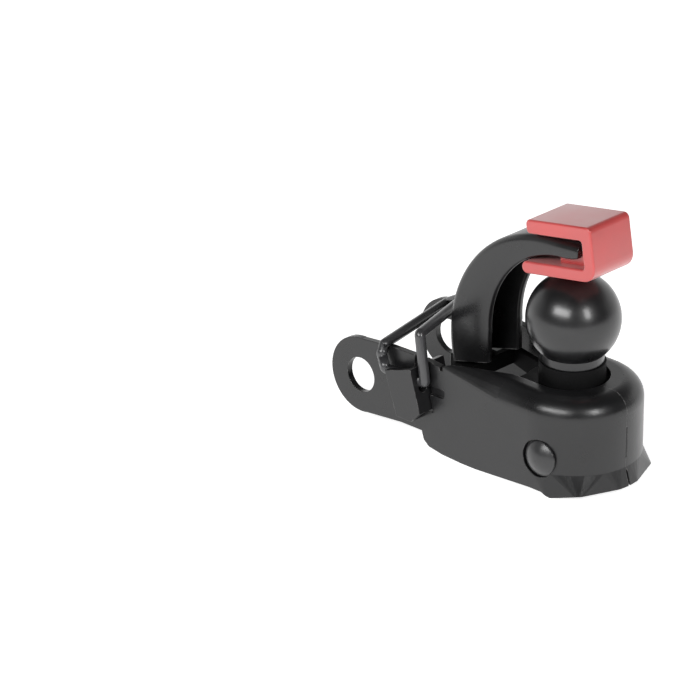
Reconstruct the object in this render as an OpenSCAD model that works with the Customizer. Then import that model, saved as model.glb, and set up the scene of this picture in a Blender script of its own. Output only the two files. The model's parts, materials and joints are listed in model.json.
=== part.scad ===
// Compact trailer coupling: ball on a pressed housing, with a hook lever and a wire latch.
// Frame: +X towards the nose, +Z up, +Y to the plain side. The origin is on the axis of
// the two ear bores, half way between the ears. at_ball() moves to the ball's centre.

/* [Ball] */
// Diameter of the ball
ball_d = 35; // [30:0.5:36]
// Diameter of the neck under the ball
neck_d = 23.2; // [21:0.2:24.4]
// Diameter of the collar that the neck stands on
collar_d = 24.6; // [24.4:0.1:27]
// Height of the collar's top face, from the ball's centre
collar_z = -16.3; // [-17.3:0.1:-15]
// Diameter of the threaded shank
shank_d = 12; // [10:1:14]
// Distance from the ear bores to the ball, along X
ball_x = 81.5; // [80:0.1:83]
// Height of the ball's centre above the ear bores
ball_z = 40; // [39:0.1:41]

/* [Housing] */
// Outer half width of the housing, and radius of its nose
wall_r = 25.5; // [25.3:0.1:26.5]
// Thickness of the pressed sheet
sheet = 2.5; // [2:0.25:3]
// Height of the top flange, from the ball's centre
flange_z = -22.4; // [-23:0.1:-22]
// Height of the lower edge, from the ball's centre
lower_z = -59.8; // [-61:0.1:-59.6]
// Outer radius between wall and top flange
shoulder_r = 7.5; // [6.5:0.25:9]
// Half width of the opening in the flange
mouth_r = 14.8; // [14.6:0.1:16]
// How far the skirt flares out at the nose
skirt_out = 2.4; // [1.5:0.1:3.5]

/* [Ears] */
// Radius of the ear bores
bore_r = 6.8; // [5:0.1:8]
// Radius of the ears' round ends
ear_r = 14.8; // [12:0.1:15.5]

/* [Lever] */
// Width of the hook's channel
hook_w = 19.4; // [18:0.2:20]
// Thickness of the hook's sheet
hook_t = 2.8; // [2:0.1:3]
// Radius of the hook's back
back_r = 49.9; // [49.5:0.1:50.3]
// Width of the grip
grip_w = 21.8; // [20:0.2:24]

/* [Wire latch] */
// Diameter of the latch wire
wire_d = 4; // [3:0.1:4]

/* [Rivet] */
// Diameter of the pivot rivet
pin_d = 8; // [6:0.5:9]
// Diameter of its domed heads
head_d = 13.6; // [12:0.2:16]

/* [Hidden] */
$fn = 96;
big = 200;
gap = 0.1;
running = 0.05;

// All heights and X positions below are from the ball's centre.
// The nose is round about nose_x; behind blend_x its shoulder sharpens towards wall_back.
nose_x = 1;
blend_x = -14;
wall_back = -41;
flange_back = -15;
wall_in = wall_r - sheet;
rear_r = 2.2;
crease_z = -50.9;

pivot_x = 6.5;
pivot_z = -45.6;
seat_y = wall_r - 1.7;
pad_y = 20.1;
pad_r = head_d / 2 + 0.9;

ear_top = -23.8;
sheet_low = -52.8;

plate_t = 5;
plate_r = 17.1;
plate_back = -16;
plate_top = flange_z - sheet;
washer_t = 2.5;
nut_t = 6;
nut_af = 19;
shank_z = plate_top - plate_t - washer_t - nut_t - 1.4;

yoke_out = 18.9;
yoke_t = 2.5;
yoke_back = -45;
yoke_web = [-36.6, -30.3];
tail_x = -51.9;

back_c = [-2.5, -17.4];
edge_c = [5, -10.6];
edge_r = 37.6;
hook_low = -30;
tail_low = -36;
tip_x = 9.6;
tip_rise = 0.9;

grip_at = [6.65, 20.1];
grip_tilt = 9.8;
grip_h = 20.8;
grip_front = 13;
grip_lower_t = 4.7;
grip_upper_t = 5.4;

wire_r = wire_d / 2;
bail_y = -(wall_r + wire_r + 0.15);
bail_z = -33.6;
bend_r = 3;
keeper_t = 2.2;
keeper_out = wall_r + wire_d + 0.3 + keeper_t;

module at_ball() { translate([ball_x, 0, ball_z]) children(); }

// A shape drawn in X and Z, made into a slab from y0 to y1
module slab(y0, y1) { translate([0, y1, 0]) rotate([90, 0, 0]) linear_extrude(y1 - y0) children(); }

// Cutter for a hole along Y
module across(x, z, r) { translate([x, 0, z]) rotate([90, 0, 0]) cylinder(r = r, h = big, center = true); }

// ---- Housing ----

// Half of the housing's cross section, outside: its upper corner is rounded with radius r
module outer_section(r) {
    translate([0, lower_z]) square([wall_r, flange_z - r - lower_z]);
    translate([0, lower_z]) square([wall_r - r, flange_z - lower_z]);
    translate([wall_r - r, flange_z - r]) circle(r);
}

module inner_section(r) {
    translate([0, lower_z - 1]) square([wall_in, plate_top - r - lower_z + 1]);
    translate([0, lower_z - 1]) square([wall_in - r, plate_top - lower_z + 1]);
    translate([wall_in - r, plate_top - r]) circle(r);
}

// A cross section carried along X on both sides
module along(x0, x1) {
    for (m = [0, 1])
        mirror([0, m, 0]) translate([x0, 0, 0]) rotate([90, 0, 90]) linear_extrude(x1 - x0) children();
}

// Plan of the flared rim: nearly flat facets that meet at the nose
module rim_plan() {
    side = [[nose_x, wall_r], [10, wall_r - 0.2], [22, wall_r - 5],
        [nose_x + wall_r + skirt_out - 0.4, 4.5], [nose_x + wall_r + skirt_out, 0]];
    polygon(concat(side, [for (i = [len(side) - 2 : -1 : 0]) [side[i].x, -side[i].y]]));
}

// The skirt flares from the round crease down to its rim; inset moves both inwards
module skirt(inset, drop) {
    hull() {
        translate([nose_x, 0, crease_z]) cylinder(r = wall_r - inset, h = gap, $fn = 64);
        translate([0, 0, lower_z - drop]) linear_extrude(0.6 + drop) offset(delta = -inset) rim_plan();
    }
}

module outer_form() {
    translate([nose_x, 0, 0]) rotate_extrude() outer_section(shoulder_r);
    along(blend_x, nose_x) outer_section(shoulder_r);
    hull() {
        along(blend_x, blend_x + gap) outer_section(shoulder_r, $fn = 32);
        along(wall_back, wall_back + gap) outer_section(rear_r, $fn = 32);
    }
    skirt(0, 0);
    side_sheet();
    mirror([0, 1, 0]) side_sheet();
}

module inner_form() {
    fillet_r = shoulder_r - sheet;
    translate([nose_x, 0, 0]) rotate_extrude() inner_section(fillet_r);
    along(blend_x, nose_x) inner_section(fillet_r);
    hull() {
        along(blend_x, blend_x + gap) inner_section(fillet_r, $fn = 32);
        along(wall_back - gap, wall_back) inner_section(0.5, $fn = 32);
    }
    skirt(sheet, 1);
}

// Side wall behind the box: it runs back into the ear
module side_sheet() {
    slab(wall_in, wall_r) translate([-ball_x, -ball_z]) circle(ear_r);
    slab(wall_in, wall_r) polygon([[-ball_x, ear_r - ball_z - gap], [-66, ear_top], [-52, ear_top + 0.3],
        [wall_back + gap, flange_z - rear_r], [wall_back + gap, lower_z + 0.6], [-47, -58.2],
        [-49.5, -56.2], [-50.6, sheet_low], [-61, sheet_low], [-ball_x, gap - ear_r - ball_z]]);
}

// Opening in the flange: round at the front, then flared out past the lever to the walls
module mouth() {
    translate([0, 0, plate_top - 1]) linear_extrude(sheet + 2) {
        translate([-1, 0]) circle(mouth_r);
        polygon([[-1, -mouth_r], [-1, mouth_r], [flange_back, mouth_r], [wall_back - 1, wall_r + 0.5],
            [wall_back - 1, -wall_r - 0.5], [flange_back, -mouth_r]]);
    }
}

// Lower edge in side view: chamfered at the rear, arched below the pivot, rising at the nose
module lower_cut() {
    deep = lower_z - 5;
    slab(-big, big) {
        polygon([[wall_back - 1, lower_z + 0.6], [-31, lower_z], [-31, deep], [wall_back - 1, deep]]);
        polygon([[-24, deep], [-24, lower_z], [2, lower_z + 1.6], [8, lower_z + 1.5], [11.5, lower_z],
            [11.5, deep]]);
        polygon([[12, deep], [12, lower_z], [21, lower_z + 2], [34, lower_z + 2], [34, deep]]);
    }
}

// Seam down the nose, opening out in the skirt
module seam() {
    groove = 0.6;
    slit = 0.9;
    translate([nose_x + wall_r, 0, -41]) rotate([0, 0, 45]) cube([groove, groove, 12], center = true);
    translate([nose_x + wall_in - 1, -slit / 2, lower_z - 1]) cube([12, slit, crease_z - lower_z]);
}

// Flat pads inside, where the lever's pivot runs
module pads() {
    intersection() {
        union() for (m = [0, 1])
            mirror([0, m, 0]) slab(pad_y, wall_r) translate([pivot_x, pivot_z]) circle(pad_r);
        translate([nose_x, 0, lower_z]) cylinder(r = wall_r - gap, h = -lower_z);
    }
}

module housing_form() {
    difference() {
        union() {
            difference() {
                outer_form();
                inner_form();
                mouth();
                lower_cut();
                seam();
            }
            pads();
        }
        for (m = [0, 1]) mirror([0, m, 0])
            slab(seat_y, big) translate([pivot_x, pivot_z]) circle(d = head_d + 1);
        across(pivot_x, pivot_z, pin_d / 2 + 0.02);
        across(-ball_x, -ball_z, bore_r);
    }
}

// Window in the side wall that the latch keeper's tab reaches into, and a shallow notch beside it
module window() {
    notch = [-39.6, -37];
    slab(-wall_r - 1, -wall_in + 1)
        polygon([[-54.2, -20], [-54.2, -28], [-49.4, -43.8], [-44.8, -43.8], [-49.6, -27.5], [-49.6, -20]]);
    slab(-wall_r - 1, -wall_r + 1.3) {
        translate([notch.x - 7, notch.y + 1.6]) square([7, 2]);
        translate([notch.x - 8, notch.y]) square([6.4, 3.6]);
        translate(notch + [-1.6, 1.6]) circle(1.6);
    }
}

module housing_latch_side() {
    color("dimgray") at_ball() difference() {
        intersection() {
            housing_form();
            translate([0, -big / 2, 0]) cube([2 * big, big, 2 * big], center = true);
        }
        window();
    }
}

module housing_plain_side() {
    color("dimgray") at_ball() intersection() {
        housing_form();
        translate([0, big / 2, 0]) cube([2 * big, big, 2 * big], center = true);
    }
}

// Bracket on the side wall: it covers the latch's hinge, and its front edge turns in as a tab
module latch_keeper() {
    top = [-50.6, -26.2];
    low = [-45.7, -42.6];
    tab = top + 0.58 * (low - top);
    foot = [[-50, -47], [-57.4, -47]];
    t = keeper_t;
    color("dimgray") at_ball() difference() {
        union() {
            slab(-keeper_out, t - keeper_out) polygon([[-63.3, -30.3], top, low, foot[0], foot[1]]);
            slab(-keeper_out, -yoke_out - 0.4) polygon([top, low, low - [t + 0.2, 0], top - [t + 0.2, 0.8]]);
            slab(-keeper_out, -14) polygon([top, tab, tab - [t + 0.2, 0], top - [t + 0.2, 0.8]]);
            slab(-keeper_out, -wall_r) polygon([[-57.6, -44.8], [-49.6, -44.8], foot[0], foot[1]]);
            slab(-keeper_out, -wall_r) polygon([[-60.6, -38], [-58.2, -38], [-55.4, -46], [-57.7, -46]]);
        }
        translate([low.x, bail_y, bail_z]) rotate([0, 90, 0])
            cylinder(r = wire_r + running, h = 12, center = true);
    }
}

// ---- Ball and what holds it ----

module base_plate() {
    color("slategray") at_ball() translate([0, 0, plate_top - plate_t]) difference() {
        linear_extrude(plate_t) {
            circle(plate_r);
            translate([plate_back, -plate_r]) square([-plate_back, 2 * plate_r]);
        }
        translate([0, 0, -1]) cylinder(d = shank_d + 2 * gap, h = plate_t + 2);
    }
}

module hitch_ball() {
    color("black") at_ball() {
        intersection() {
            sphere(d = ball_d);
            translate([-big / 2, -big / 2, collar_z]) cube(big);
        }
        translate([0, 0, collar_z]) cylinder(d = neck_d, h = -collar_z);
        translate([0, 0, shank_z]) cylinder(d = shank_d, h = collar_z - shank_z + 1);
    }
}

module ring(r_out, r_in, h) {
    difference() { cylinder(r = r_out, h = h); translate([0, 0, -1]) cylinder(r = r_in, h = h + 2); }
}

module ball_collar() {
    color("dimgray") at_ball() translate([0, 0, plate_top])
        ring(collar_d / 2, shank_d / 2 + gap, collar_z - plate_top);
}

module spring_washer() {
    color("silver") at_ball() translate([0, 0, plate_top - plate_t - washer_t]) difference() {
        ring(10.5, shank_d / 2 + gap, washer_t);
        rotate([0, 0, 30]) translate([0, -1, -1]) cube([12, 2, washer_t + 2]);
    }
}

module ball_nut() {
    color("silver") at_ball() translate([0, 0, plate_top - plate_t - washer_t - nut_t]) difference() {
        cylinder(d = nut_af / cos(30), h = nut_t, $fn = 6);
        translate([0, 0, -1]) cylinder(r = shank_d / 2 + 0.02, h = nut_t + 2);
    }
}

// ---- Pivot ----

module on_pivot() { at_ball() translate([pivot_x, 0, pivot_z]) rotate([90, 0, 0]) children(); }

// Domed head on a seat: a short rim, then a cap of a sphere
module dome() {
    rim = 0.8;
    dome_h = 2.6;
    dome_r = (dome_h * dome_h + head_d * head_d / 4) / (2 * dome_h);
    translate([0, 0, seat_y]) cylinder(d = head_d, h = rim);
    translate([0, 0, seat_y + rim]) intersection() {
        translate([0, 0, dome_h - dome_r]) sphere(dome_r);
        cylinder(d = head_d, h = dome_h + 1);
    }
}

module pivot_rivet() {
    color("black") on_pivot() {
        cylinder(d = pin_d, h = 2 * seat_y, center = true);
        dome();
        mirror([0, 0, 1]) dome();
    }
}

module pivot_washers() {
    near = yoke_out + 0.3;
    color("silver") on_pivot() for (m = [0, 1])
        mirror([0, 0, m]) translate([0, 0, near]) ring(5.6, pin_d / 2 + gap, pad_y - near);
}

module pivot_spacer() {
    reach = yoke_out - yoke_t - 0.3;
    color("silver") on_pivot() translate([0, 0, -reach]) ring(5, pin_d / 2 + running, 2 * reach);
}

// ---- Lever ----

module lever_yoke() {
    boss_r = 6.2;
    color("gray") at_ball() difference() {
        union() {
            for (m = [0, 1]) mirror([0, m, 0]) slab(yoke_out - yoke_t, yoke_out) {
                translate([pivot_x, pivot_z]) circle(boss_r);
                polygon([[pivot_x - 0.25 * boss_r, pivot_z + 0.968 * boss_r], [yoke_back, yoke_web[1]],
                    [yoke_back, yoke_web[0]], [pivot_x + 0.265 * boss_r, pivot_z - 0.964 * boss_r]]);
            }
            translate([yoke_back, -yoke_out, yoke_web[0]])
                cube([yoke_t, 2 * yoke_out, yoke_web[1] - yoke_web[0]]);
            translate([tail_x + hook_t, -hook_w / 2 + 0.5, yoke_web[0] + 2])
                cube([yoke_back - tail_x - hook_t + 1, hook_w - 1, yoke_web[1] - yoke_web[0] - 2]);
        }
        translate([pivot_x, 0, pivot_z]) rotate([90, 0, 0])
            cylinder(r = pin_d / 2 + running, h = big, center = true);
    }
}

// Side view of the hook's back, with its radius reduced by t
module hook_back(t) {
    intersection() {
        translate(back_c) circle(back_r - t);
        translate([-big, hook_low]) square([big + back_c[0], big]);
    }
    polygon([[back_c[0] - 1, back_c[1]], [back_c[0] - 1, back_c[1] + back_r - t],
        [back_c[0], back_c[1] + back_r - t], [tip_x, back_c[1] + back_r - t + tip_rise], [tip_x, 28.6],
        [edge_c[0], edge_c[1] + edge_r], [edge_c[0], back_c[1]]]);
}

module lever_hook() {
    color("dimgray") at_ball() {
        difference() {
            slab(-hook_w / 2, hook_w / 2) difference() {
                hook_back(0);
                translate(edge_c) circle(edge_r);
                translate([edge_c[0] - edge_r, hook_low - 30]) square([60, edge_c[1] - hook_low + 30]);
            }
            slab(-hook_w / 2 + hook_t, hook_w / 2 - hook_t) union() {
                hook_back(hook_t);
                translate([tip_x - 1, 20]) square([5, back_c[1] + back_r - hook_t + tip_rise - 20.1]);
            }
        }
        translate([tail_x, -hook_w / 2, tail_low]) cube([hook_t, hook_w, hook_low - tail_low + 0.5]);
    }
}

module lever_grip() {
    body = grip_front - 5;
    lip = 22.4;
    back = 18;
    color("crimson") at_ball() translate([grip_at[0], 0, grip_at[1]]) rotate([0, -grip_tilt, 0]) {
        slab(-grip_w / 2, grip_w / 2) {
            difference() {
                union() {
                    translate([-back, 3]) square([back + grip_front, grip_h - 3]);
                    translate([-lip, 0]) square([lip + grip_front - 6, grip_lower_t]);
                    translate([grip_front - 6, 6]) circle(6);
                    translate([gap / 2 - lip, grip_lower_t / 2]) circle(grip_lower_t / 2);
                }
                translate([-30, grip_lower_t]) square([30 + body, grip_h - grip_upper_t - grip_lower_t]);
            }
        }
        slab(-hook_w / 2 + hook_t + gap, hook_w / 2 - hook_t - gap)
            translate([-7, grip_lower_t - 1]) square([7 + body + 0.5, 6]);
    }
}

// ---- Wire latch ----

function unit(v) = v / norm(v);

// Centre line along the corner points p, with each inner corner rounded to radius r
function rounded(p, r, steps) = [
    p[0],
    for (i = [1 : len(p) - 2])
        let (u = unit(p[i] - p[i - 1]), w = unit(p[i + 1] - p[i]), turn = acos(u * w),
             n = unit(w - (u * w) * u), start = p[i] - r * tan(turn / 2) * u)
            for (k = [0 : steps]) start + r * (sin(turn * k / steps) * u + (1 - cos(turn * k / steps)) * n),
    p[len(p) - 1]
];

// Direction of the line q at each of its points
function directions(q) = [for (i = [0 : len(q) - 1])
    unit(q[min(i + 1, len(q) - 1)] - q[max(i - 1, 0)])];

// A side vector for each direction in t that turns no more than it must
function sides_of(t, start) = [for (i = 0, n = start; i < len(t);
    i = i + 1, n = i < len(t) ? unit(n - (n * t[i]) * t[i]) : n) n];

// Round wire of diameter d with flat ends along the line q
module tube(q, d, around) {
    t = directions(q);
    side = sides_of(t, unit(cross(t[0], [0, 0, 1])));
    rings = [for (i = [0 : len(q) - 1]) for (k = [0 : around - 1])
        q[i] + d / 2 * (cos(360 * k / around) * side[i] + sin(360 * k / around) * cross(t[i], side[i]))];
    skin = [for (i = [0 : len(q) - 2]) for (k = [0 : around - 1])
        let (k2 = (k + 1) % around)
            [i * around + k, (i + 1) * around + k, (i + 1) * around + k2, i * around + k2]];
    cap = [for (k = [0 : around - 1]) k];
    far_cap = [for (k = [around - 1 : -1 : 0]) (len(q) - 1) * around + k];
    polyhedron(rings, concat(skin, [cap, far_cap]));
}

// A closed loop: its ends meet under the keeper, two legs rise from there, and two arms
// cross over the housing to the plain side
module bail_wire() {
    far_y = 14;
    corners = [[-61, bail_y, bail_z], [-44, bail_y, bail_z], [-50.8, bail_y - 1.4, -11.4],
        [-61.5, far_y, -13.5], [-75, far_y, -21.2], [-67.5, -27, -21.5], [-69.5, -30.6, -25.6],
        [-67.8, bail_y, bail_z], [-62, bail_y, bail_z]];
    color("gray") at_ball() tube(rounded(corners, bend_r, 6), wire_d, 14);
}

housing_latch_side();
housing_plain_side();
latch_keeper();
base_plate();
hitch_ball();
ball_collar();
spring_washer();
ball_nut();
pivot_rivet();
pivot_washers();
pivot_spacer();
lever_yoke();
lever_hook();
lever_grip();
bail_wire();
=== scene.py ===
# Compact trailer coupling: finishes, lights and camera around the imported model.
# Lengths are in metres, in the model's own frame: +X to the nose, +Z up.
import json
import math

import bmesh
import bpy
from mathutils import Matrix, Vector


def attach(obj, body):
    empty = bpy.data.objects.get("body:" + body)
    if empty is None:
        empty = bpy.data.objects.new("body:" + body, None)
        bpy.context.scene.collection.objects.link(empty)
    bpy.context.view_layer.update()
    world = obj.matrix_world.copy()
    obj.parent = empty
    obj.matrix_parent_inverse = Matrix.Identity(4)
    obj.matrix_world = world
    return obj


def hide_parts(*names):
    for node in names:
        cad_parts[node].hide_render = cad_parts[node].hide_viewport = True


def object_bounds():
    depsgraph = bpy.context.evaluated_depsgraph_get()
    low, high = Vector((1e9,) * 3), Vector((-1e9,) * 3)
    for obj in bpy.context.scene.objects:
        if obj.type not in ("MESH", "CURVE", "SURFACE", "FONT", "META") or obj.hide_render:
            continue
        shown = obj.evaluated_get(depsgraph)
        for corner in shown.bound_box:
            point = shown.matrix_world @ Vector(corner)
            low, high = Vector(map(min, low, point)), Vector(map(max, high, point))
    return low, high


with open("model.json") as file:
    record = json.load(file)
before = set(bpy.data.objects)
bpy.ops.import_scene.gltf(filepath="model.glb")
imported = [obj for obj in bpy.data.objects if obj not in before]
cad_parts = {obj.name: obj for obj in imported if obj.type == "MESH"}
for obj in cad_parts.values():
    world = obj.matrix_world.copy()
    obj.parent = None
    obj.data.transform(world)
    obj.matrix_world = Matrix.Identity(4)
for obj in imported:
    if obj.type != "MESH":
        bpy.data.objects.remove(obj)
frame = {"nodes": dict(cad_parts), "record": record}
CAD_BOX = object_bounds()

NODES = frame["nodes"]
SCENE = bpy.context.scene

# The ball's centre is the point that all else is placed from.
BALL = Vector((0.0815, 0.0, 0.040))


# ---- Camera ----

AZIMUTH, ELEVATION = math.radians(43.7), math.radians(24.4)
DISTANCE = 1.7235
# How far the ball is from the point that the camera aims at, across the picture and up it.
BALL_TO_RIGHT, BALL_ABOVE = 0.0806, 0.0117
LENS_MM, SENSOR_MM = 245.8, 36.0


def make_camera():
    """The photograph's view: a long lens, the coupling right of the picture's middle."""
    back = Vector((math.sin(AZIMUTH) * math.cos(ELEVATION),
                   -math.cos(AZIMUTH) * math.cos(ELEVATION), math.sin(ELEVATION)))
    right = Vector((math.cos(AZIMUTH), math.sin(AZIMUTH), 0.0))
    up = back.cross(right)
    aim = BALL - BALL_TO_RIGHT * right - BALL_ABOVE * up
    data = bpy.data.cameras.new("camera")
    data.lens, data.sensor_width = LENS_MM, SENSOR_MM
    data.clip_start, data.clip_end = 0.1, 20.0
    camera = bpy.data.objects.new("camera", data)
    SCENE.collection.objects.link(camera)
    turned = Matrix((right, up, back)).transposed().to_4x4()
    camera.matrix_world = Matrix.Translation(aim + DISTANCE * back) @ turned
    SCENE.camera = camera


make_camera()


# ---- Materials ----

# Noise: how fine it is (scale) and how many layers it has (detail).
PATCH_SCALE, PATCH_DETAIL = 70.0, 5.0
CHIP_SCALE, CHIP_DETAIL = 420.0, 6.0
PEEL_DETAIL, PEEL_DEPTH = 3.0, 0.0002
# A patch's roughness goes from the smoothest to the roughest share of the finish's own.
SMOOTHEST, ROUGHEST = 0.82, 1.2
# Wear shows where the rounded normal leaves the flat one and the chips' noise is high.
RUBBED_SPAN, CHIP_SPAN = (0.80, 0.96), (0.52, 0.66)
EDGE_SAMPLES = 6


def noise(nodes, links, where, scale, detail, stretch=(1.0, 1.0, 1.0)):
    """Noise in the object's own coordinates; its Fac output is returned."""
    place = nodes.new("ShaderNodeMapping")
    place.inputs["Scale"].default_value = stretch
    texture = nodes.new("ShaderNodeTexNoise")
    texture.inputs["Scale"].default_value = scale
    texture.inputs["Detail"].default_value = detail
    links.new(where, place.inputs["Vector"])
    links.new(place.outputs["Vector"], texture.inputs["Vector"])
    return texture.outputs["Fac"]


def spread(nodes, links, value, low, high, span=(0.3, 0.7)):
    """value, mapped from span to low..high."""
    node = nodes.new("ShaderNodeMapRange")
    node.inputs["From Min"].default_value, node.inputs["From Max"].default_value = span
    node.inputs["To Min"].default_value, node.inputs["To Max"].default_value = low, high
    links.new(value, node.inputs["Value"])
    return node.outputs["Result"]


def blend_colour(nodes, links, factor, one, two):
    """one and two, each a colour or a socket, mixed by factor: 0 is one and 1 is two."""
    node = nodes.new("ShaderNodeMix")
    node.data_type = "RGBA"
    links.new(factor, node.inputs["Factor"])
    for socket, colour in ((node.inputs["A"], one), (node.inputs["B"], two)):
        if isinstance(colour, tuple):
            socket.default_value = (*colour, 1.0)
        else:
            links.new(colour, socket)
    return node.outputs["Result"]


def material(name, colour, roughness, coat=0.0, coat_roughness=0.1, peel=0.05, peel_scale=900.0,
             mottle=1.25, edge=0.0004, metallic=0.0, sheen=0.0, specular=0.5, wear=None,
             stretch=(1.0, 1.0, 1.0)):
    """A finish on metal or plastic.

    Orange peel or grain goes in the bump, and soft patches go in colour and roughness. Edges
    are shaded as if rounded by edge metres, and wear is the colour where they have rubbed.
    """
    mat = bpy.data.materials.new(name)
    mat.use_nodes = True
    nodes, links = mat.node_tree.nodes, mat.node_tree.links
    shader = nodes["Principled BSDF"]
    shader.inputs["Metallic"].default_value = metallic
    shader.inputs["Sheen Weight"].default_value = sheen
    shader.inputs["Specular IOR Level"].default_value = specular
    shader.inputs["Coat Weight"].default_value = coat
    shader.inputs["Coat Roughness"].default_value = coat_roughness
    where = nodes.new("ShaderNodeTexCoord").outputs["Object"]

    patches = noise(nodes, links, where, PATCH_SCALE, PATCH_DETAIL, stretch)
    rough = spread(nodes, links, patches, roughness * SMOOTHEST, roughness * ROUGHEST)
    links.new(rough, shader.inputs["Roughness"])
    darker = tuple(c / mottle for c in colour)
    lighter = tuple(min(1.0, c * mottle) for c in colour)
    shade = blend_colour(nodes, links, spread(nodes, links, patches, 0.0, 1.0), darker, lighter)

    rounded = nodes.new("ShaderNodeBevel")
    rounded.samples = EDGE_SAMPLES
    rounded.inputs["Radius"].default_value = edge
    if wear:
        flat = nodes.new("ShaderNodeNewGeometry").outputs["Normal"]
        turn = nodes.new("ShaderNodeVectorMath")
        turn.operation = "DOT_PRODUCT"
        links.new(flat, turn.inputs[0])
        links.new(rounded.outputs["Normal"], turn.inputs[1])
        rubbed = spread(nodes, links, turn.outputs["Value"], 1.0, 0.0, RUBBED_SPAN)
        speckle = noise(nodes, links, where, CHIP_SCALE, CHIP_DETAIL)
        chips = spread(nodes, links, speckle, 0.0, 1.0, CHIP_SPAN)
        both = nodes.new("ShaderNodeMath")
        both.operation = "MULTIPLY"
        links.new(rubbed, both.inputs[0])
        links.new(chips, both.inputs[1])
        shade = blend_colour(nodes, links, both.outputs["Value"], shade, wear)
    links.new(shade, shader.inputs["Base Color"])

    lift = nodes.new("ShaderNodeBump")
    lift.inputs["Strength"].default_value = peel
    lift.inputs["Distance"].default_value = PEEL_DEPTH
    links.new(noise(nodes, links, where, peel_scale, PEEL_DETAIL, stretch), lift.inputs["Height"])
    links.new(rounded.outputs["Normal"], lift.inputs["Normal"])
    links.new(lift.outputs["Normal"], shader.inputs["Normal"])
    links.new(rounded.outputs["Normal"], shader.inputs["Coat Normal"])
    return mat


# Bare steel, where paint has rubbed off.
BARE = (0.20, 0.195, 0.19)
MATERIALS = {
    "black_paint": material("black_paint", (0.008, 0.008, 0.0085), 0.31, coat=0.08, coat_roughness=0.14,
                            peel=0.12, wear=BARE),
    "ball_black": material("ball_black", (0.006, 0.006, 0.0065), 0.32, coat=0.35, coat_roughness=0.18,
                           peel=0.05, peel_scale=1400.0, edge=0.0003),
    # Painted shade: a darker, duller copy of black_paint, standing in for the shade inside the housing.
    "painted_shade_black": material("painted_shade_black", (0.004, 0.004, 0.0042), 0.62, peel=0.25, peel_scale=500.0,
                            specular=0.1),
    "rivet_black": material("rivet_black", (0.017, 0.017, 0.018), 0.38, coat=0.3, coat_roughness=0.22,
                            peel=0.2, peel_scale=600.0, edge=0.0006, wear=BARE),
    "wire_black": material("wire_black", (0.035, 0.035, 0.037), 0.30, coat=0.4, coat_roughness=0.2,
                           peel=0.08, stretch=(0.25, 1.0, 1.0)),
    "zinc": material("zinc", (0.62, 0.63, 0.65), 0.34, metallic=1.0, peel=0.05, mottle=1.1, edge=0.0003),
    "grip_red": material("grip_red", (0.45, 0.028, 0.026), 0.42, coat=1.0, coat_roughness=0.30, sheen=0.20,
                         peel=0.18, peel_scale=1500.0, mottle=1.08, edge=0.0005),
}


def paint(obj, finish):
    """Gives obj the finish of that name, and no other."""
    obj.data.materials.clear()
    obj.data.materials.append(MATERIALS[finish])


for row in frame["record"]["subparts"]:
    paint(NODES[row["node"]], row["material_slot"])
# Painted shade: pieces inside the housing, or close over its opening, get a darker, duller copy of the
# black paint, for the shade that falls in the housing's mouth.
for shaded in ("base_plate", "ball_collar", "lever_yoke"):
    paint(NODES[shaded], "painted_shade_black")


# ---- Pieces that stand for CAD nodes: rounder forms on the same sizes ----

def stand_in(obj, node, slot_name, body):
    """Puts obj in the place of a CAD node, on the same body and in the same slot."""
    SCENE.collection.objects.link(obj)
    paint(obj, slot_name)
    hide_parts(node)
    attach(obj, body)


def at_ball(x, y, z):
    """A point given in millimetres from the ball's centre."""
    return BALL + 0.001 * Vector((x, y, z))


def arc(centre, radius, start, stop, steps):
    """Points of a flat arc, angles in degrees."""
    turns = [math.radians(start + (stop - start) * i / steps) for i in range(steps + 1)]
    return [(centre[0] + radius * math.cos(t), centre[1] + radius * math.sin(t)) for t in turns]


def rounded_corners(corners):
    """Corners given as (x, z, radius) turned into a closed line of points with round corners."""
    steps = 6
    points = []
    for i, (x, z, radius) in enumerate(corners):
        here = Vector((x, z))
        before = (Vector(corners[i - 1][:2]) - here).normalized()
        after = (Vector(corners[(i + 1) % len(corners)][:2]) - here).normalized()
        half = before.angle(after) / 2
        middle = here + (before + after).normalized() * radius / math.sin(half)
        first = here + before * radius / math.tan(half) - middle
        last = here + after * radius / math.tan(half) - middle
        sweep = first.angle_signed(last)
        for k in range(steps + 1):
            turn = -sweep * k / steps
            points.append(middle + Vector((first.x * math.cos(turn) - first.y * math.sin(turn),
                                           first.x * math.sin(turn) + first.y * math.cos(turn))))
    return points


def finish_mesh(name, bm, bevel, segments, angle):
    """A smooth object from bm, bevelled in metres where edges turn by more than angle degrees."""
    mesh = bpy.data.meshes.new(name)
    bm.to_mesh(mesh)
    bm.free()
    mesh.polygons.foreach_set("use_smooth", [True] * len(mesh.polygons))
    obj = bpy.data.objects.new(name, mesh)
    edges = obj.modifiers.new("edges", "BEVEL")
    edges.width, edges.segments, edges.limit_method = bevel, segments, "ANGLE"
    edges.angle_limit = math.radians(angle)
    edges.harden_normals = True
    return obj


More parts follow.
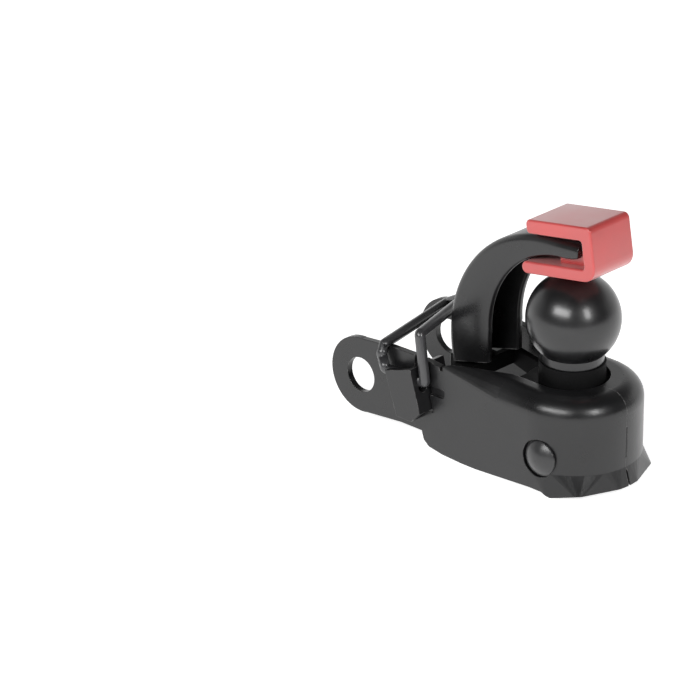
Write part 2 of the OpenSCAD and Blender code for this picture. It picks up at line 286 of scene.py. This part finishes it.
def make_hook():
    """The hook: a channel section swept up the back's arc, then straight out to the tip.

    The channel is open towards the ball. Its back is one arc, and its two edges follow another
    with a straight part below. Sizes are in millimetres, from the ball's centre.
    """
    width, wall, lip = 19.4, 2.8, 0.9
    corner, inner = 2.6, 0.8
    back_x, back_z, back_r, root_angle = -2.5, -17.4, 49.9, 194.6
    edge_x, edge_z, edge_r, edge_line = 5.0, -10.6, 37.6, -32.6
    tip_x, tip_rise, tip_edge_z = 9.6, 0.9, 28.6
    root_x, root_z, root_height = -51.5, -31.4, 9.0
    arc_steps, tip_steps = 60, 4
    stations = []
    for x, z in arc((back_x, back_z), back_r, root_angle, 90.0, arc_steps):
        inward = Vector((back_x - x, back_z - z)).normalized()
        from_edge = Vector((x - edge_x, z - edge_z))
        along = from_edge.dot(inward)
        reach = -along - math.sqrt(max(0.0, along * along - from_edge.length_squared + edge_r ** 2))
        if inward.x > 0.5 and z < edge_z:
            reach = (edge_line - x) / inward.x
        stations.append((x, z, inward, reach))
    for k in range(1, tip_steps + 1):
        x = back_x + (tip_x - back_x) * k / tip_steps
        z = back_z + back_r + tip_rise * k / tip_steps
        low = edge_z + math.sqrt(edge_r ** 2 - max(0.0, edge_x - x) ** 2)
        low += (tip_edge_z - low) * max(0.0, (x - edge_x) / (tip_x - edge_x))
        stations.append((x, z, Vector((0.0, -1.0)), z - low))

    def section(reach):
        """The channel's outline as (y, depth below the back), for walls that reach that deep."""
        half = width / 2
        outside = [(half, reach - lip), (half, corner)]
        outside += [(half - corner + corner * math.cos(t), corner - corner * math.sin(t))
                    for t in (math.radians(a) for a in (15, 30, 45, 60, 75, 90))]
        inside = [(half - wall - inner, wall)]
        inside += [(half - wall - inner + inner * math.sin(t), wall + inner - inner * math.cos(t))
                   for t in (math.radians(a) for a in (30, 60, 90))]
        inside += [(half - wall, reach - lip)]
        edge = [(half - wall + lip * (1 - math.cos(t)), reach - lip + lip * math.sin(t))
                for t in (math.radians(a) for a in (30, 60, 90))]
        edge += [(half - lip * (1 - math.sin(t)), reach - lip + lip * math.cos(t))
                 for t in (math.radians(a) for a in (30, 60))]
        side = inside + edge + outside
        return [(y, d) for y, d in side] + [(-y, d) for y, d in reversed(side)]

    bm = bmesh.new()
    rings = []
    for x, z, inward, reach in stations:
        rings.append([bm.verts.new(at_ball(x + inward.x * d, y, z + inward.y * d))
                      for y, d in section(reach)])
    count = len(rings[0])
    for one, two in zip(rings, rings[1:]):
        for k in range(count):
            j = (k + 1) % count
            bm.faces.new((one[k], one[j], two[j], two[k]))
    bm.faces.new(rings[0])
    bm.faces.new(list(reversed(rings[-1])))
    tail = bmesh.ops.create_cube(bm, size=0.001)["verts"]
    bmesh.ops.scale(bm, verts=tail, vec=(wall, width - 0.4, root_height))
    bmesh.ops.translate(bm, verts=tail, vec=at_ball(root_x + wall / 2, 0.0, root_z))
    bmesh.ops.recalc_face_normals(bm, faces=bm.faces)
    return finish_mesh("hook_channel", bm, bevel=0.0004, segments=2, angle=50.0)


def make_grip():
    """Moulded grip: a thick C round the hook's end, with a web between the hook's walls.

    It is drawn level in millimetres, then tilted about a point on its underside, which is at
    foot_x, foot_z from the ball's centre.
    """
    half_width, web_half_width = 10.9, 6.8
    tilt, foot_x, foot_z = math.radians(9.8), 6.65, 20.1
    outline = rounded_corners([
        (-18.0, 20.8, 2.0), (13.0, 20.8, 2.2), (13.0, 0.0, 6.0), (-22.4, 0.0, 2.3),
        (-22.4, 4.7, 2.3), (8.0, 4.7, 1.0), (8.0, 15.4, 1.0), (-18.0, 15.4, 1.6)])
    bm = bmesh.new()

    def place(x, y, z):
        return at_ball(foot_x + x * math.cos(tilt) - z * math.sin(tilt), y,
                       foot_z + x * math.sin(tilt) + z * math.cos(tilt))

    def prism(points, half):
        near = [bm.verts.new(place(p[0], -half, p[1])) for p in points]
        far = [bm.verts.new(place(p[0], half, p[1])) for p in points]
        for k in range(len(points)):
            j = (k + 1) % len(points)
            bm.faces.new((near[k], near[j], far[j], far[k]))
        bm.faces.new(near)
        bm.faces.new(list(reversed(far)))

    prism(outline, half_width)
    prism([(-7.0, 3.7), (8.5, 3.7), (8.5, 9.7), (-7.0, 9.7)], web_half_width)
    bmesh.ops.recalc_face_normals(bm, faces=bm.faces)
    return finish_mesh("grip_moulding", bm, bevel=0.0015, segments=5, angle=60.0)


def make_wire():
    """The latch wire as one smooth closed loop, its lower bar in the keeper's hole."""
    bail_y, bail_z, far_y = -27.65, -33.6, 14.0
    bend_r, bend_steps, wire_radius = 3.0, 10, 0.002
    corners = [(-44, bail_y, bail_z), (-50.8, bail_y - 1.4, -11.4), (-61.5, far_y, -13.5),
               (-75, far_y, -21.2), (-67.5, -27, -21.5), (-69.5, -30.6, -25.6), (-67.8, bail_y, bail_z)]
    points = []
    for i, corner in enumerate(corners):
        here = Vector(corner)
        before = (Vector(corners[i - 1]) - here).normalized()
        after = (Vector(corners[(i + 1) % len(corners)]) - here).normalized()
        half = before.angle(after) / 2
        reach = bend_r / math.tan(half)
        middle = here + (before + after).normalized() * bend_r / math.sin(half)
        first, last = here + before * reach - middle, here + after * reach - middle
        for k in range(bend_steps + 1):
            points.append(middle + first.slerp(last, k / bend_steps))
    data = bpy.data.curves.new("latch_wire", "CURVE")
    data.dimensions, data.bevel_depth, data.bevel_resolution = "3D", wire_radius, 7
    spline = data.splines.new("POLY")
    spline.points.add(len(points) - 1)
    for point, co in zip(spline.points, points):
        point.co = (*at_ball(*co), 1.0)
    spline.use_cyclic_u = True
    spline.use_smooth = True
    return bpy.data.objects.new("latch_wire", data)


stand_in(make_hook(), "lever_hook", "black_paint", "lever")
stand_in(make_grip(), "lever_grip", "grip_red", "lever")
stand_in(make_wire(), "bail_wire", "wire_black", "latch")


# ---- Studio ----

# Level direction from the model towards the camera.
CAMERA_SIDE = (0.69, -0.72, 0.0)
# The floor's glow stops inside this distance from the housing's middle, where nothing of the
# floor is seen, so that the underside stays dark.
GLOW, GLOW_SPAN, HOUSING_BEHIND_BALL = 0.78, (0.020, 0.024), 0.012
FLOOR_HALF, FLOOR_GAP = 6, 0.0002
# The world's white fades out over these spans: towards the camera, and towards the zenith.
FRONT_SPAN, ZENITH_SPAN = (-0.5, 0.15), (0.35, 0.55)
FRONT_WHITE, ZENITH_WHITE = 0.03, 0.10


def make_floor():
    """White light table: bright enough to read as plain white."""
    mesh = bpy.data.meshes.new("floor")
    floor = bpy.data.objects.new("floor", mesh)
    low, far = CAD_BOX[0].z - FLOOR_GAP, FLOOR_HALF
    mesh.from_pydata([(-far, -far, low), (far, -far, low), (far, far, low), (-far, far, low)],
                     [], [(0, 1, 2, 3)])
    SCENE.collection.objects.link(floor)
    mat = bpy.data.materials.new("floor")
    mat.use_nodes = True
    shader = mat.node_tree.nodes["Principled BSDF"]
    shader.inputs["Base Color"].default_value = (0.9, 0.9, 0.9, 1.0)
    shader.inputs["Roughness"].default_value = 0.9
    shader.inputs["Specular IOR Level"].default_value = 0.0
    shader.inputs["Emission Color"].default_value = (1.0, 1.0, 1.0, 1.0)
    nodes, links = mat.node_tree.nodes, mat.node_tree.links
    from_middle = nodes.new("ShaderNodeVectorMath")
    from_middle.operation = "DISTANCE"
    from_middle.inputs[1].default_value = (BALL.x - HOUSING_BEHIND_BALL, 0.0, low)
    links.new(nodes.new("ShaderNodeTexCoord").outputs["Object"], from_middle.inputs[0])
    glow = spread(nodes, links, from_middle.outputs["Value"], 0.0, GLOW, GLOW_SPAN)
    links.new(glow, shader.inputs["Emission Strength"])
    mesh.materials.append(mat)


def make_world():
    """White at and beyond the horizon, dark overhead and around the camera."""
    world = bpy.data.worlds.new("studio")
    SCENE.world = world
    world.use_nodes = True
    nodes, links = world.node_tree.nodes, world.node_tree.links
    where = nodes.new("ShaderNodeTexCoord").outputs["Generated"]
    facing = nodes.new("ShaderNodeVectorMath")
    facing.operation = "DOT_PRODUCT"
    facing.inputs[1].default_value = CAMERA_SIDE
    links.new(where, facing.inputs[0])
    height = nodes.new("ShaderNodeSeparateXYZ")
    links.new(where, height.inputs[0])
    behind = spread(nodes, links, facing.outputs["Value"], 1.0, FRONT_WHITE, FRONT_SPAN)
    overhead = spread(nodes, links, height.outputs["Z"], 1.0, ZENITH_WHITE, ZENITH_SPAN)
    both = nodes.new("ShaderNodeMath")
    both.operation = "MULTIPLY"
    links.new(behind, both.inputs[0])
    links.new(overhead, both.inputs[1])
    links.new(both.outputs["Value"], nodes["Background"].inputs["Color"])
    nodes["Background"].inputs["Strength"].default_value = 1.0


def make_light(name, direction, distance, width, height, power):
    """A soft box that faces the ball from a direction."""
    data = bpy.data.lights.new(name, "AREA")
    data.shape, data.size, data.size_y, data.energy = "RECTANGLE", width, height, power
    light = bpy.data.objects.new(name, data)
    SCENE.collection.objects.link(light)
    away = Vector(direction).normalized()
    light.location = BALL + distance * away
    light.rotation_mode = "QUATERNION"
    light.rotation_quaternion = away.to_track_quat("Z", "Y")


make_floor()
make_world()
make_light("key", (0.10, -0.83, 0.53), distance=1.2, width=0.85, height=0.34, power=11.0)
make_light("side", (0.857, -0.178, 0.48), distance=1.2, width=0.26, height=0.46, power=6.0)

SCENE.view_settings.view_transform = "Standard"
